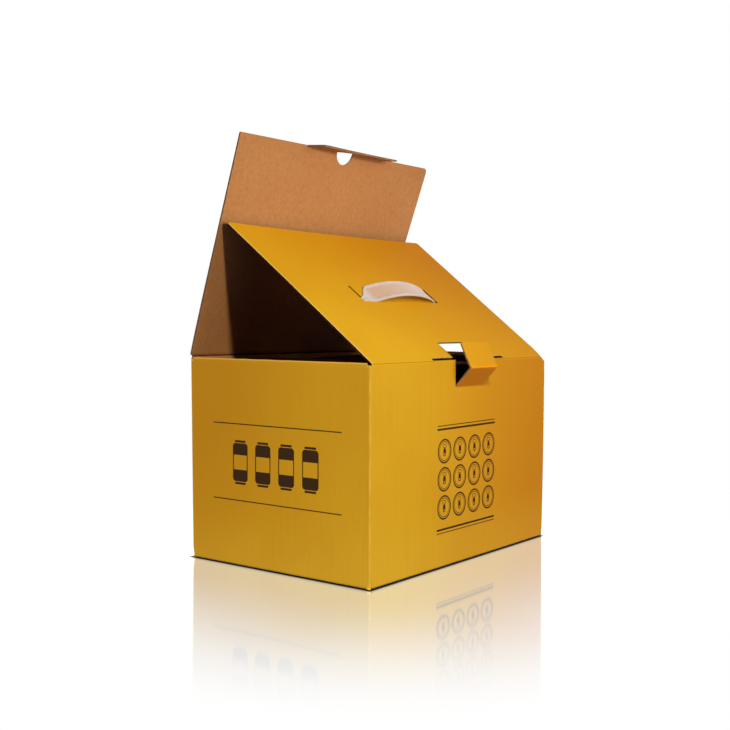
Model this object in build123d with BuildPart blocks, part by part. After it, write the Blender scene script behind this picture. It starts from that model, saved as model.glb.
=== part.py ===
import math
import os

from build123d import *

os.makedirs("parts", exist_ok=True)

# ---------------------------------------------------------------- dimensions, mm
LENGTH = 292.0          # along the front wall, X
DEPTH = 206.0           # front wall to back wall, Y
BOARD = 1.6             # fine-flute corrugated board thickness
Z_SIDE = 181.2          # top of the folded-in dust flaps
Z_FRONT = 183.1         # front crease, one board above the dust flaps
Z_BACK = 184.9          # back crease, one board above the front lid when shut
CORNER_R = 2.0          # outside radius of the folded vertical corners
FOLD_R = 1.5            # outside radius of the folded horizontal edges
GAP = 0.2               # play at a crease between a wall and its lid

LID_INSET = 1.8         # lids are this much narrower than the box at each end
FRONT_LID_LEN = 196.0   # front crease to free edge
FRONT_LID_DEG = 37.1    # stands this far above horizontal
BACK_LID_LEN = 206.8    # back crease to tuck crease
BACK_LID_LEAN = 16.55   # leans this far forward of upright

DUST_LEN = 143.0        # each dust flap, end wall to free edge
DUST_NECK = 3.4         # flap edge to outer wall face at the crease
DUST_TIP = 7.5          # flap edge to outer wall face at the free edge
INNER_FLAP_LEN = 98.0   # bottom inner flaps
SEAM = 1.2              # gap between the two outer bottom flaps
SEAM_Y = 3.0            # that gap lies this far behind the middle

TONGUE_X = 3.45         # lock tongue centre
TONGUE_W = 45.5         # lock tongue width
TONGUE_CUT = 0.7        # play around the tongue
TONGUE_DROP = 24.2      # attached this far below the front crease
TONGUE_FOLD = (16.2, -6.7)   # outward, above crease
TONGUE_END = (5.1, 15.9)     # outward, above crease
SLIT_X = 5.0            # middle of the slit along the front crease
SLIT_HALF = 59.6        # and its half length
SLIT_RISE = 0.2         # wall stands this far above the crease between the slit's ends
SLIT_LID = 3.6          # and the lid is cut back this far
WINDOW_LEN = 25.2       # window in the front lid, from the crease

TUCK_X = 5.5            # tuck tongue centre
TUCK_W = 117.0          # tuck tongue at its crease
TUCK_TIP_W = 115.0      # tuck tongue at its free edge
TUCK_LEN = 23.0
TUCK_DROP_DEG = 5.0     # points this far below horizontal
THUMB_R = 12.5
THUMB_X = 3.5
HAND_W = 128.0          # handle opening in the back lid
HAND_H = 28.0
HAND_ALONG = 104.0      # back crease to the middle of that opening

STRAP_X = -4.9          # strap handle centre
STRAP_ALONG = 97.0      # front crease to strap centre
STRAP_SKEW = 0.8        # strap lies this far askew on the lid, degrees
STRAP_HALF = 59.0       # centre to each leg
STRAP_T = 1.3
STRAP_W = 22.0          # grip width
STRAP_NECK_W = 15.0     # leg width
STRAP_RISE = 8.2        # top of the arch above the lid
SLOT_FROM, SLOT_TO = 87.5, 110.0   # strap slits, from the front crease
SLOT_W = 3.0
STOP_LEN = 11.0
STOP_W = 24.0
STOP_T = 1.2

GLUE_W = 34.0           # glue lap inside the back right corner

HX, HY = LENGTH / 2, DEPTH / 2

# ---------------------------------------------------------------- carton body
cut_low = Z_FRONT - TONGUE_DROP
ab = math.hypot(TONGUE_FOLD[0], TONGUE_FOLD[1] + TONGUE_DROP)
n1 = (-(TONGUE_FOLD[1] + TONGUE_DROP) / ab, TONGUE_FOLD[0] / ab)
bc = math.hypot(TONGUE_END[0] - TONGUE_FOLD[0], TONGUE_END[1] - TONGUE_FOLD[1])
n2 = (-(TONGUE_END[1] - TONGUE_FOLD[1]) / bc, (TONGUE_END[0] - TONGUE_FOLD[0]) / bc)
dot = n1[0] * n2[0] + n1[1] * n2[1]
bend = ((n1[0] + n2[0]) / (1 + dot) * BOARD, (n1[1] + n2[1]) / (1 + dot) * BOARD)


def tongue_pt(out, up):
    """A point of the tongue's section, from outward and above-crease distances."""
    return (-HY - out, Z_FRONT + up)


tongue_section = [
    (-HY, cut_low - 1.0),
    tongue_pt(0, -TONGUE_DROP),
    tongue_pt(*TONGUE_FOLD),
    tongue_pt(*TONGUE_END),
    tongue_pt(TONGUE_END[0] + n2[0] * BOARD, TONGUE_END[1] + n2[1] * BOARD),
    tongue_pt(TONGUE_FOLD[0] + bend[0], TONGUE_FOLD[1] + bend[1]),
    tongue_pt(n1[0] * BOARD, -TONGUE_DROP + n1[1] * BOARD),
    (-HY + BOARD, cut_low),
    (-HY + BOARD, cut_low - 1.0),
]

with BuildPart() as carton_body:
    # front wall with its outer bottom flap, then the back wall with the other
    for side, top in ((-1, Z_FRONT), (1, Z_BACK)):
        seam_edge = SEAM_Y + side * SEAM / 2
        with BuildSketch(Plane.YZ.offset(-HX)):
            with BuildLine():
                Line((seam_edge, 0), (side * (HY - FOLD_R), 0))
                RadiusArc((side * (HY - FOLD_R), 0), (side * HY, FOLD_R), side * -FOLD_R)
                Polyline(
                    (side * HY, FOLD_R),
                    (side * HY, top - GAP),
                    (side * (HY - BOARD), top - GAP - BOARD),
                    (side * (HY - BOARD), BOARD),
                    (seam_edge, BOARD),
                    (seam_edge, 0),
                )
            make_face()
        extrude(amount=LENGTH)
    # end walls with their dust flap above and inner bottom flap below
    for side in (-1, 1):
        with BuildSketch(Plane.XZ.offset(-(HY - DUST_NECK))):
            with BuildLine():
                Line((side * (HX - INNER_FLAP_LEN), BOARD), (side * (HX - FOLD_R), BOARD))
                RadiusArc((side * (HX - FOLD_R), BOARD), (side * HX, BOARD + FOLD_R), side * -FOLD_R)
                Line((side * HX, BOARD + FOLD_R), (side * HX, Z_SIDE - FOLD_R))
                RadiusArc((side * HX, Z_SIDE - FOLD_R), (side * (HX - FOLD_R), Z_SIDE), side * -FOLD_R)
                Polyline(
                    (side * (HX - FOLD_R), Z_SIDE),
                    (side * (HX - DUST_LEN), Z_SIDE),
                    (side * (HX - DUST_LEN), Z_SIDE - BOARD),
                    (side * (HX - BOARD), Z_SIDE - BOARD),
                    (side * (HX - BOARD), 2 * BOARD),
                    (side * (HX - INNER_FLAP_LEN), 2 * BOARD),
                    (side * (HX - INNER_FLAP_LEN), BOARD),
                )
            make_face()
        extrude(amount=DEPTH - 2 * DUST_NECK)
        # the wall's two vertical edges, beyond the dust flap's neck
        with BuildSketch(Plane.XY.offset(BOARD)):
            for end in (-1, 1):
                with Locations((side * (HX - BOARD / 2), end * (HY - DUST_NECK / 2 - 0.5))):
                    Rectangle(BOARD, DUST_NECK + 1.0)
        extrude(amount=Z_SIDE - BOARD - 1.2)
    # dust flaps taper towards their free edges
    with BuildSketch(Plane.XY.offset(Z_SIDE - BOARD)):
        for sx in (-1, 1):
            for sy in (-1, 1):
                with BuildLine():
                    Polyline(
                        (sx * (HX - BOARD), sy * (HY - DUST_NECK)),
                        (sx * (HX - DUST_LEN - 1), sy * (HY - DUST_TIP)),
                        (sx * (HX - DUST_LEN - 1), sy * (HY - BOARD)),
                        (sx * (HX - BOARD), sy * (HY - BOARD)),
                        close=True,
                    )
                make_face()
    extrude(amount=BOARD + 0.01, mode=Mode.SUBTRACT)
    # folded vertical corners
    with BuildSketch():
        RectangleRounded(LENGTH, DEPTH, CORNER_R)
    extrude(amount=Z_BACK + 5, mode=Mode.INTERSECT)
    # the outer bottom flaps stop short of the end walls
    with BuildSketch():
        for sx in (-1, 1):
            with Locations((sx * HX, 0)):
                Rectangle(1.8, DEPTH - 2 * BOARD - 2)
    extrude(amount=BOARD, mode=Mode.SUBTRACT)
    # lids' walls stop short of the corners above the dust flaps
    with BuildSketch(Plane.XY.offset(Z_SIDE - 1.2)):
        for sx in (-1, 1):
            for sy in (-1, 1):
                with Locations((sx * HX, sy * HY)):
                    Rectangle(2 * LID_INSET + 1.0, 2 * BOARD)
    extrude(amount=10, mode=Mode.SUBTRACT)
    # glue lap
    with Locations((HX - 1.5 * BOARD, HY - BOARD - GLUE_W / 2, (Z_SIDE + BOARD) / 2)):
        Box(BOARD, GLUE_W, Z_SIDE - BOARD - 14)
    # between the slit's ends the front wall stands a little above the crease
    with Locations((SLIT_X, -HY + BOARD / 2, Z_FRONT + SLIT_RISE - 3.0)):
        Box(2 * SLIT_HALF, BOARD, 6.0)
    # the place the tongue came out of
    with BuildSketch(Plane.XZ.offset(HY - BOARD - 1)):
        with Locations((TONGUE_X, cut_low + TONGUE_DROP / 2 + 2)):
            Rectangle(TONGUE_W + 2 * TONGUE_CUT, TONGUE_DROP + 4)
    extrude(amount=BOARD + 2, mode=Mode.SUBTRACT)
    # the lock tongue, folded out of the wall and bent up
    with BuildSketch(Plane.YZ.offset(TONGUE_X - TONGUE_W / 2)):
        with BuildLine():
            Polyline(*tongue_section, close=True)
        make_face()
    extrude(amount=TONGUE_W)
carton_body.part.label = "carton_body"

# ---------------------------------------------------------------- front lid
th = math.radians(FRONT_LID_DEG)
front_hinge = Vector(0, -HY, Z_FRONT)
front_along = Vector(0, math.cos(th), math.sin(th))
front_up = Vector(0, -math.sin(th), math.cos(th))
front_plane = Plane(origin=front_hinge, x_dir=(1, 0, 0), z_dir=front_up)


def front_pt(along, up):
    """(Y, Z) of a point of the front lid, from its distances along and above it."""
    p = front_hinge + front_along * along + front_up * up
    return (p.Y, p.Z)


with BuildPart() as front_lid:
    with BuildSketch(front_plane) as front_outline:
        with Locations((0, FRONT_LID_LEN / 2)):
            Rectangle(LENGTH - 2 * LID_INSET, FRONT_LID_LEN)
        fillet(front_outline.vertices().group_by(Axis(front_hinge, front_along))[-1], radius=2.5)
        with Locations((TONGUE_X, WINDOW_LEN / 2)):
            Rectangle(TONGUE_W + 2 * TONGUE_CUT, WINDOW_LEN, mode=Mode.SUBTRACT)
        with Locations((SLIT_X, SLIT_LID / 2)):
            Rectangle(2 * SLIT_HALF + 1.0, SLIT_LID, mode=Mode.SUBTRACT)
        for sx in (-1, 1):
            with Locations((STRAP_X + sx * STRAP_HALF, (SLOT_FROM + SLOT_TO) / 2)):
                Rectangle(SLOT_W, SLOT_TO - SLOT_FROM, mode=Mode.SUBTRACT)
    extrude(amount=-BOARD)
    # the crease is mitred so that the lid folds shut against the wall
    with BuildSketch(Plane.YZ.offset(-HX)):
        with BuildLine():
            Polyline(
                front_pt(-2, 0.5),
                front_pt(GAP - 0.5, 0.5),
                front_pt(GAP + BOARD + 0.5, -BOARD - 0.5),
                front_pt(-2, -BOARD - 0.5),
                close=True,
            )
        make_face()
    extrude(amount=LENGTH, mode=Mode.SUBTRACT)
front_lid.part.label = "front_lid"

# ---------------------------------------------------------------- back lid
ph = math.radians(BACK_LID_LEAN)
back_hinge = Vector(0, HY, Z_BACK)
back_along = Vector(0, -math.sin(ph), math.cos(ph))
back_out = Vector(0, math.cos(ph), math.sin(ph))
back_plane = Plane(origin=back_hinge, x_dir=(-1, 0, 0), z_dir=back_out)
td = math.radians(TUCK_DROP_DEG)
tuck_root = back_hinge + back_along * BACK_LID_LEN
tuck_plane = Plane(origin=tuck_root, x_dir=(-1, 0, 0), z_dir=(0, -math.sin(td), math.cos(td)))


def back_pt(along, out):
    """(Y, Z) of a point of the back lid, from its distances along and outside it."""
    p = back_hinge + back_along * along + back_out * out
    return (p.Y, p.Z)


with BuildPart() as back_lid:
    with BuildSketch(back_plane) as back_outline:
        with Locations((0, BACK_LID_LEN / 2)):
            Rectangle(LENGTH - 2 * LID_INSET, BACK_LID_LEN)
        fillet(back_outline.vertices().group_by(Axis(back_hinge, back_along))[-1], radius=4)
        with Locations((-THUMB_X, BACK_LID_LEN)):
            Circle(THUMB_R, mode=Mode.SUBTRACT)
        with Locations((0, HAND_ALONG)):
            SlotOverall(HAND_W, HAND_H, mode=Mode.SUBTRACT)
    extrude(amount=-BOARD)
    # the crease is mitred so that the lid folds shut against the wall
    with BuildSketch(Plane.YZ.offset(-HX)):
        with BuildLine():
            Polyline(
                back_pt(-2, 0.5),
                back_pt(GAP - 0.5, 0.5),
                back_pt(GAP + BOARD + 0.5, -BOARD - 0.5),
                back_pt(-2, -BOARD - 0.5),
                close=True,
            )
        make_face()
    extrude(amount=LENGTH, mode=Mode.SUBTRACT)
    # tuck tongue, bent over towards the front
    with BuildSketch(tuck_plane) as tuck_outline:
        with BuildLine():
            Polyline(
                (-TUCK_X - TUCK_W / 2, 0),
                (-TUCK_X + TUCK_W / 2, 0),
                (-TUCK_X + TUCK_TIP_W / 2, TUCK_LEN),
                (-TUCK_X - TUCK_TIP_W / 2, TUCK_LEN),
                close=True,
            )
        make_face()
        fillet(tuck_outline.vertices().group_by(Axis(tuck_root, tuck_plane.y_dir))[-1], radius=4)
        with Locations((-THUMB_X, 0)):
            Circle(THUMB_R, mode=Mode.SUBTRACT)
    extrude(amount=-BOARD)
back_lid.part.label = "back_lid"

# ---------------------------------------------------------------- carry handle
strap_origin = front_hinge + front_along * STRAP_ALONG + Vector(STRAP_X, 0, 0)
sk = math.radians(STRAP_SKEW)
strap_dir = Vector(1, 0, 0) * math.cos(sk) + front_along * math.sin(sk)
strap_plane = Plane(origin=strap_origin, x_dir=strap_dir, z_dir=front_up)
section_plane = Plane(origin=strap_origin, x_dir=strap_plane.x_dir, z_dir=-strap_plane.y_dir)
under = -BOARD                # underside of the lid
leg_in = STRAP_HALF - STRAP_T / 2
leg_out = STRAP_HALF + STRAP_T / 2

with BuildPart() as carry_handle:
    # the arched grip
    with BuildSketch(section_plane):
        with BuildLine():
            ThreePointArc((-leg_out, 0.3), (0, STRAP_RISE), (leg_out, 0.3))
            Line((leg_out, 0.3), (leg_in, 0.3))
            ThreePointArc((leg_in, 0.3), (0, STRAP_RISE - STRAP_T), (-leg_in, 0.3))
            Line((-leg_in, 0.3), (-leg_out, 0.3))
        make_face()
    extrude(amount=STRAP_W / 2, both=True)
    # narrowed towards the legs
    with BuildSketch(strap_plane) as grip_outline:
        with BuildLine():
            Polyline(
                (-leg_out - 1, -STRAP_NECK_W / 2),
                (-leg_in + 3.0, -STRAP_NECK_W / 2),
                (-leg_in + 8.5, -STRAP_W / 2),
                (leg_in - 8.5, -STRAP_W / 2),
                (leg_in - 3.0, -STRAP_NECK_W / 2),
                (leg_out + 1, -STRAP_NECK_W / 2),
                (leg_out + 1, STRAP_NECK_W / 2),
                (leg_in - 3.0, STRAP_NECK_W / 2),
                (leg_in - 8.5, STRAP_W / 2),
                (-leg_in + 8.5, STRAP_W / 2),
                (-leg_in + 3.0, STRAP_NECK_W / 2),
                (-leg_out - 1, STRAP_NECK_W / 2),
                close=True,
            )
        make_face()
    extrude(amount=20, mode=Mode.INTERSECT)
    # legs through the lid, and the stops beneath it
    with BuildSketch(section_plane):
        for sx in (-1, 1):
            with Locations((sx * STRAP_HALF, (under - STOP_T + 0.9) / 2)):
                Rectangle(STRAP_T, 0.9 - under + STOP_T)
    extrude(amount=STRAP_NECK_W / 2, both=True)
    with BuildSketch(strap_plane.offset(under)):
        for sx in (-1, 1):
            with Locations((sx * (leg_in + STOP_LEN / 2), 0)):
                RectangleRounded(STOP_LEN, STOP_W, 2.5)
    extrude(amount=-STOP_T)
carry_handle.part.label = "carry_handle"

# ---------------------------------------------------------------- out
for piece in (carton_body, front_lid, back_lid, carry_handle):
    export_step(piece.part, f"parts/{piece.part.label}.step")
    print(piece.part.label, round(piece.part.volume, 1), piece.part.bounding_box(), len(piece.part.solids()))
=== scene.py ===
import math

import bpy
import numpy as np
from mathutils import Matrix, Vector
from mathutils.geometry import delaunay_2d_cdt


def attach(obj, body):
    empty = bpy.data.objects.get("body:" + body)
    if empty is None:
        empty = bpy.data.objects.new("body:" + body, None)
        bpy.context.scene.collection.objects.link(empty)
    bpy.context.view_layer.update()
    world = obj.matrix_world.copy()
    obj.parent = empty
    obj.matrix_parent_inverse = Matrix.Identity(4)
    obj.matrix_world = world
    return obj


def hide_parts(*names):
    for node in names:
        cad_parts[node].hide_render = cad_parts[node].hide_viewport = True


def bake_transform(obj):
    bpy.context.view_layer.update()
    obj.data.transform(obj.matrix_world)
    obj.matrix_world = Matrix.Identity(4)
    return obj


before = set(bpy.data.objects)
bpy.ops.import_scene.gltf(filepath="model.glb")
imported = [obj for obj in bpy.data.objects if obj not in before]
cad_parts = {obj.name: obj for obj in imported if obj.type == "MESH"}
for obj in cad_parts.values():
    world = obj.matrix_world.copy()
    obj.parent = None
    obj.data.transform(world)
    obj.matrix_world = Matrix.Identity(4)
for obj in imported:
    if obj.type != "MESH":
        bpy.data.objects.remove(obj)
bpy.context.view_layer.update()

MM = 0.001

# ---------------------------------------------------------------- dimensions, mm
HX, HY, BOARD = 146.0, 103.0, 1.6
END = 2 * HY            # end wall, corner to corner
ROUND = 2 * HX + END    # front corner to the matching back corner, round the box
Z_SIDE, Z_FRONT, Z_BACK = 181.2, 183.1, 184.9
CORNER = 1.2            # outside radius of the vertical corners
FOLD = 1.7              # outside radius of the folded horizontal edges
CREASE = 1.6            # a crease takes this much of the wall and of its lid
LINER_P, LINER_K, MEDIUM_T = 0.36, 0.30, 0.16
PITCH = 3.4             # flute pitch

FRONT_DEG, FRONT_LEN = 37.1, 199.5
BACK_LEAN, BACK_LEN = 16.55, 206.8
LID_HALF = 144.2
LID_ROOT = 147.6        # the back lid is a little wider at its crease, on the left
WIN_L, WIN_R, WIN_LEN = -20.0, 26.9, 25.2
SLIT_X, SLIT_HALF, SLIT_RISE, SLIT_LID = 5.0, 60.1, 0.2, 3.6
TONGUE_L, TONGUE_R = -19.3, 26.2
TONGUE_DROP = 24.2
TONGUE_FOLD = (16.2, -6.7)
TONGUE_END = (5.1, 15.9)
TUCK_X, TUCK_HALF, TUCK_TIP, TUCK_LEN, TUCK_DEG = 5.5, 58.5, 57.5, 23.0, 5.0
THUMB_X, THUMB_R = 3.5, 12.5
HAND_W, HAND_H, HAND_ALONG = 128.0, 28.0, 104.0
STRAP_X, STRAP_ALONG, STRAP_SKEW, STRAP_HALF = -4.9, 97.0, 0.8, 59.0
STRAP_RISE, STRAP_T, STRAP_W = 9.0, 1.3, 22.6
SLOT_FROM, SLOT_TO = 86.8, 109.0

PRINT, KRAFT, CORE, MEDIUM, FLAP_SHADE, PALE = 0, 1, 2, 3, 4, 5


def smooth(a, b, x):
    t = min(1.0, max(0.0, (x - a) / (b - a)))
    return t * t * (3 - 2 * t)


# ---------------------------------------------------------------- mesh gathering
class Gather:
    """Collects closed shells of one piece, with their place on the flat blank."""

    def __init__(self):
        self.v, self.f, self.m, self.a = [], [], [], []

    def add(self, pts, faces, mats, attr):
        o = len(self.v)
        self.v += pts
        self.a += attr
        self.f += [tuple(i + o for i in f) for f in faces]
        self.m += mats

    def build(self, name, materials, sharp=38):
        me = bpy.data.meshes.new(name)
        me.from_pydata([(x * MM, y * MM, z * MM) for x, y, z in self.v], [], self.f)
        at = me.attributes.new("blank", "FLOAT_VECTOR", "POINT")
        at.data.foreach_set("vector", np.array(self.a, np.float32).ravel())
        for m in materials:
            me.materials.append(m)
        me.polygons.foreach_set("material_index", np.array(self.m, np.int32))
        me.polygons.foreach_set("use_smooth", np.ones(len(self.f), bool))
        me.set_sharp_from_angle(angle=math.radians(sharp))
        me.update()
        ob = bpy.data.objects.new(name, me)
        bpy.context.scene.collection.objects.link(ob)
        return ob


def seg_arrays(loops):
    a, b = [], []
    for lp in loops:
        for i in range(len(lp)):
            a.append(lp[i])
            b.append(lp[(i + 1) % len(lp)])
    return np.array(a, float), np.array(b, float)


def inside(p, a, b):
    """Even-odd test of many points against the loops' segments."""
    x, y = p[:, 0][:, None], p[:, 1][:, None]
    up = (a[None, :, 1] > y) != (b[None, :, 1] > y)
    with np.errstate(divide="ignore", invalid="ignore"):
        xx = a[None, :, 0] + (y - a[None, :, 1]) * (b[None, :, 0] - a[None, :, 0]) / (b[None, :, 1] - a[None, :, 1])
    return (np.sum(up & (x < xx), axis=1) % 2) == 1


def boundary_distance(p, a, b):
    d = b - a
    ll = np.maximum((d * d).sum(1), 1e-12)
    t = np.clip(((p[:, None, :] - a[None]) * d[None]).sum(2) / ll[None], 0, 1)
    q = a[None] + t[..., None] * d[None]
    return np.sqrt(((p[:, None, :] - q) ** 2).sum(2)).min(1)


def triangulate(loops, us, vs):
    """Triangles of an outline with holes, following the given grid lines."""
    pts, edges, index = [], [], {}

    def pid(u, v):
        k = (round(u, 3), round(v, 3))
        if k not in index:
            index[k] = len(pts)
            pts.append((u, v))
        return index[k]

    for lp in loops:
        for i in range(len(lp)):
            p, q = lp[i], lp[(i + 1) % len(lp)]
            ts = [0.0]
            for L in us:
                if (p[0] - L) * (q[0] - L) < 0:
                    ts.append((L - p[0]) / (q[0] - p[0]))
            for L in vs:
                if (p[1] - L) * (q[1] - L) < 0:
                    ts.append((L - p[1]) / (q[1] - p[1]))
            ts.sort()
            length = math.hypot(q[0] - p[0], q[1] - p[1])
            kept = [0.0]
            for t in ts[1:]:
                if (t - kept[-1]) * length > 0.12 and (1 - t) * length > 0.12:
                    kept.append(t)
            chain = [pid(p[0] + (q[0] - p[0]) * t, p[1] + (q[1] - p[1]) * t) for t in kept] + [pid(*q)]
            edges += [(m, n) for m, n in zip(chain, chain[1:]) if m != n]
    a, b = seg_arrays(loops)
    grid = np.array([(u, v) for u in us for v in vs], float)
    if len(grid):
        grid = grid[inside(grid, a, b)]
    if len(grid):
        grid = grid[boundary_distance(grid, a, b) > 0.2]
    for u, v in grid:
        pid(float(u), float(v))
    out = delaunay_2d_cdt([Vector(p) for p in pts], edges, [], 1, 1e-5)
    verts = [(p[0], p[1]) for p in out[0]]
    tris = [tuple(f) for f in out[2]]
    cen = np.array([[sum(verts[i][0] for i in f) / len(f), sum(verts[i][1] for i in f) / len(f)] for f in tris])
    ok = inside(cen, a, b)
    return verts, [f for f, k in zip(tris, ok) if k]


def lines(lo, hi, step, extra=()):
    n = max(1, int(round((hi - lo) / step)))
    out = [lo + (hi - lo) * i / n for i in range(1, n)]
    out = [x for x in out if all(abs(x - e) > 0.45 * step for e in extra)]
    return sorted(out + [e for e in extra if lo < e < hi])


def liner(g, tri, place, d0, d1, mats, blank):
    """One paper layer as a closed shell: its face nearer the print, its other face and its rim."""
    verts, tris = tri
    n = len(verts)
    top = [place(u, v, d0) for u, v in verts]
    bot = [place(u, v, d1) for u, v in verts]
    attr = [blank(u, v) + (d0,) for u, v in verts] + [blank(u, v) + (d1,) for u, v in verts]
    a, b, c = (Vector(top[i]) for i in tris[0][:3])
    look = (Vector(top[tris[0][0]]) - Vector(bot[tris[0][0]])).dot((b - a).cross(c - a))
    if look < 0:
        tris = [tuple(reversed(f)) for f in tris]
    faces = list(tris) + [tuple(i + n for i in reversed(f)) for f in tris]
    if callable(mats[0]):
        fm = [mats[0](sum(verts[i][0] for i in f) / len(f), sum(verts[i][1] for i in f) / len(f)) for f in tris]
    else:
        fm = [mats[0]] * len(tris)
    fm += [mats[1]] * len(tris)
    used = set()
    for f in tris:
        for i in range(len(f)):
            used.add((f[i], f[(i + 1) % len(f)]))
    for i, j in used:
        if (j, i) not in used:
            faces.append((j, i, i + n, j + n))
            fm.append(mats[2](*verts[i]) if callable(mats[2]) else mats[2])
    g.add(top + bot, faces, fm, attr)


def spans(loops, u):
    """Stretches of the line at u that lie inside the outline."""
    hits = []
    for lp in loops:
        for i in range(len(lp)):
            p, q = lp[i], lp[(i + 1) % len(lp)]
            if (p[0] > u) != (q[0] > u):
                hits.append(p[1] + (u - p[0]) * (q[1] - p[1]) / (q[0] - p[0]))
    hits.sort()
    return [(hits[i], hits[i + 1]) for i in range(0, len(hits) - 1, 2)]


def flutes(g, loops, place, vs, blank, u_range=None, thick=BOARD, back=0.3, per=8, mid_mat=MEDIUM):
    """The waved middle paper, running along v."""
    us = [p[0] for p in loops[0]]
    lo, hi = (min(us) + 0.05, max(us) - 0.05) if u_range is None else u_range
    n = int((hi - lo) / (PITCH / per))
    cols = [lo + (hi - lo) * i / n for i in range(n + 1)]
    mid = (LINER_P + thick - LINER_K) / 2
    amp = (thick - LINER_P - LINER_K) / 2 - MEDIUM_T / 2 + 0.04
    prev_key = None
    pts, faces, attr, index = [], [], [], {}

    def vid(u, v, side):
        k = (round(u, 3), round(v, 3), side)
        if k not in index:
            index[k] = len(pts)
            d = mid + amp * math.cos(2 * math.pi * u / PITCH) + side * MEDIUM_T / 2
            pts.append(place(u, v, d))
            attr.append(blank(u, v) + (d,))
        return index[k]

    strips = []
    for i in range(n):
        u0, u1 = cols[i], cols[i + 1]
        s0, s1 = spans(loops, u0 + 1e-3), spans(loops, u1 - 1e-3)
        if len(s0) != len(s1):
            s0 = s1 = spans(loops, (u0 + u1) / 2)
        rows = []
        for (a0, b0), (a1, b1) in zip(s0, s1):
            if min(b0 - a0, b1 - a1) < 2 * back + 0.3:
                continue
            inner = [v for v in vs if max(a0, a1) + back + 0.2 < v < min(b0, b1) - back - 0.2]
            rows.append(([a0 + back] + inner + [b0 - back], [a1 + back] + inner + [b1 - back]))
        strips.append((u0, u1, rows))
    for i, (u0, u1, rows) in enumerate(strips):
        for left, right in rows:
            for k in range(len(left) - 1):
                q = [(u0, left[k]), (u1, right[k]), (u1, right[k + 1]), (u0, left[k + 1])]
                faces.append(tuple(vid(u, v, -1) for u, v in q))
                faces.append(tuple(vid(u, v, 1) for u, v in reversed(q)))
            for m, up in ((0, False), (-1, True)):
                f = (vid(u0, left[m], -1), vid(u0, left[m], 1), vid(u1, right[m], 1), vid(u1, right[m], -1))
                faces.append(f if not up else tuple(reversed(f)))
            before = strips[i - 1][2] if i else []
            after = strips[i + 1][2] if i + 1 < len(strips) else []
            if not any(abs(r[1][0] - left[0]) < 1e-3 and abs(r[1][-1] - left[-1]) < 1e-3 for r in before):
                for k in range(len(left) - 1):
                    faces.append((vid(u0, left[k], -1), vid(u0, left[k + 1], -1), vid(u0, left[k + 1], 1), vid(u0, left[k], 1)))
            if not any(abs(r[0][0] - right[0]) < 1e-3 and abs(r[0][-1] - right[-1]) < 1e-3 for r in after):
                for k in range(len(right) - 1):
                    faces.append((vid(u1, right[k], 1), vid(u1, right[k + 1], 1), vid(u1, right[k + 1], -1), vid(u1, right[k], -1)))
    if faces:
        g.add(pts, faces, [mid_mat] * len(faces), attr)


def sheet(g, loops, place, us, vs, blank, kraft_loops=None, flute_vs=None, flute_loops=None, u_range=None, face=PRINT, mid=MEDIUM, rim=CORE, per=8):
    """Corrugated board: printed liner, waved middle, plain liner."""
    liner(g, triangulate(loops, us, vs), place, 0.0, LINER_P, (face, mid, rim), blank)
    kl = kraft_loops or loops
    liner(g, triangulate(kl, us, vs), place, BOARD - LINER_K, BOARD, (mid, KRAFT, mid), blank)
    flutes(g, flute_loops or loops, place, vs if flute_vs is None else flute_vs, blank, u_range, per=per, mid_mat=mid)


def arc_pts(cx, cy, r, a0, a1, n):
    return [(cx + r * math.cos(math.radians(a0 + (a1 - a0) * i / n)),
             cy + r * math.sin(math.radians(a0 + (a1 - a0) * i / n))) for i in range(n + 1)]


class Profile:
    """A folded line of the printed face: straight runs with rounded folds. The print is on its right-hand side times hand."""

    def __init__(self, pts, radii, hand=1):
        self.runs, self.hand = [], hand
        pos = Vector(pts[0])
        length = 0.0
        for i in range(1, len(pts)):
            p, q = Vector(pts[i - 1]), Vector(pts[i])
            d = (q - p).normalized()
            end = q
            if i < len(pts) - 1:
                nd = (Vector(pts[i + 1]) - q).normalized()
                turn = math.atan2(d.x * nd.y - d.y * nd.x, d.dot(nd))
                cut = radii[i - 1] * math.tan(abs(turn) / 2)
                end = q - d * cut
            if (end - pos).length > 1e-4:
                n = (end - pos).length
                self.runs.append(("line", length, length + n, pos.copy(), d))
                length += n
            pos = end
            if i < len(pts) - 1:
                r = radii[i - 1]
                left = Vector((-d.y, d.x))
                s = 1 if turn > 0 else -1
                c = pos + left * r * s
                n = r * abs(turn)
                self.runs.append(("arc", length, length + n, c, pos - c, turn, d))
                length += n
                pos = q + nd * cut
        self.length = length

    def at(self, w):
        run = self.runs[-1]
        for r in self.runs:
            if w <= r[2] + 1e-6:
                run = r
                break
        if run[0] == "line":
            d = run[4]
            p = run[3] + d * (w - run[1])
        else:
            t = run[5] * (w - run[1]) / (run[2] - run[1])
            ca, sa = math.cos(t), math.sin(t)
            v = run[4]
            p = run[3] + Vector((v.x * ca - v.y * sa, v.x * sa + v.y * ca))
            d = Vector((run[6].x * ca - run[6].y * sa, run[6].x * sa + run[6].y * ca))
        return p, Vector((d.y, -d.x)) * self.hand

    def marks(self, n=6):
        out = []
        for r in self.runs:
            if r[0] == "arc":
                out += [r[1] + (r[2] - r[1]) * i / n for i in range(n + 1)]
        return [w for w in out if 0.05 < w < self.length - 0.05]


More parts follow.
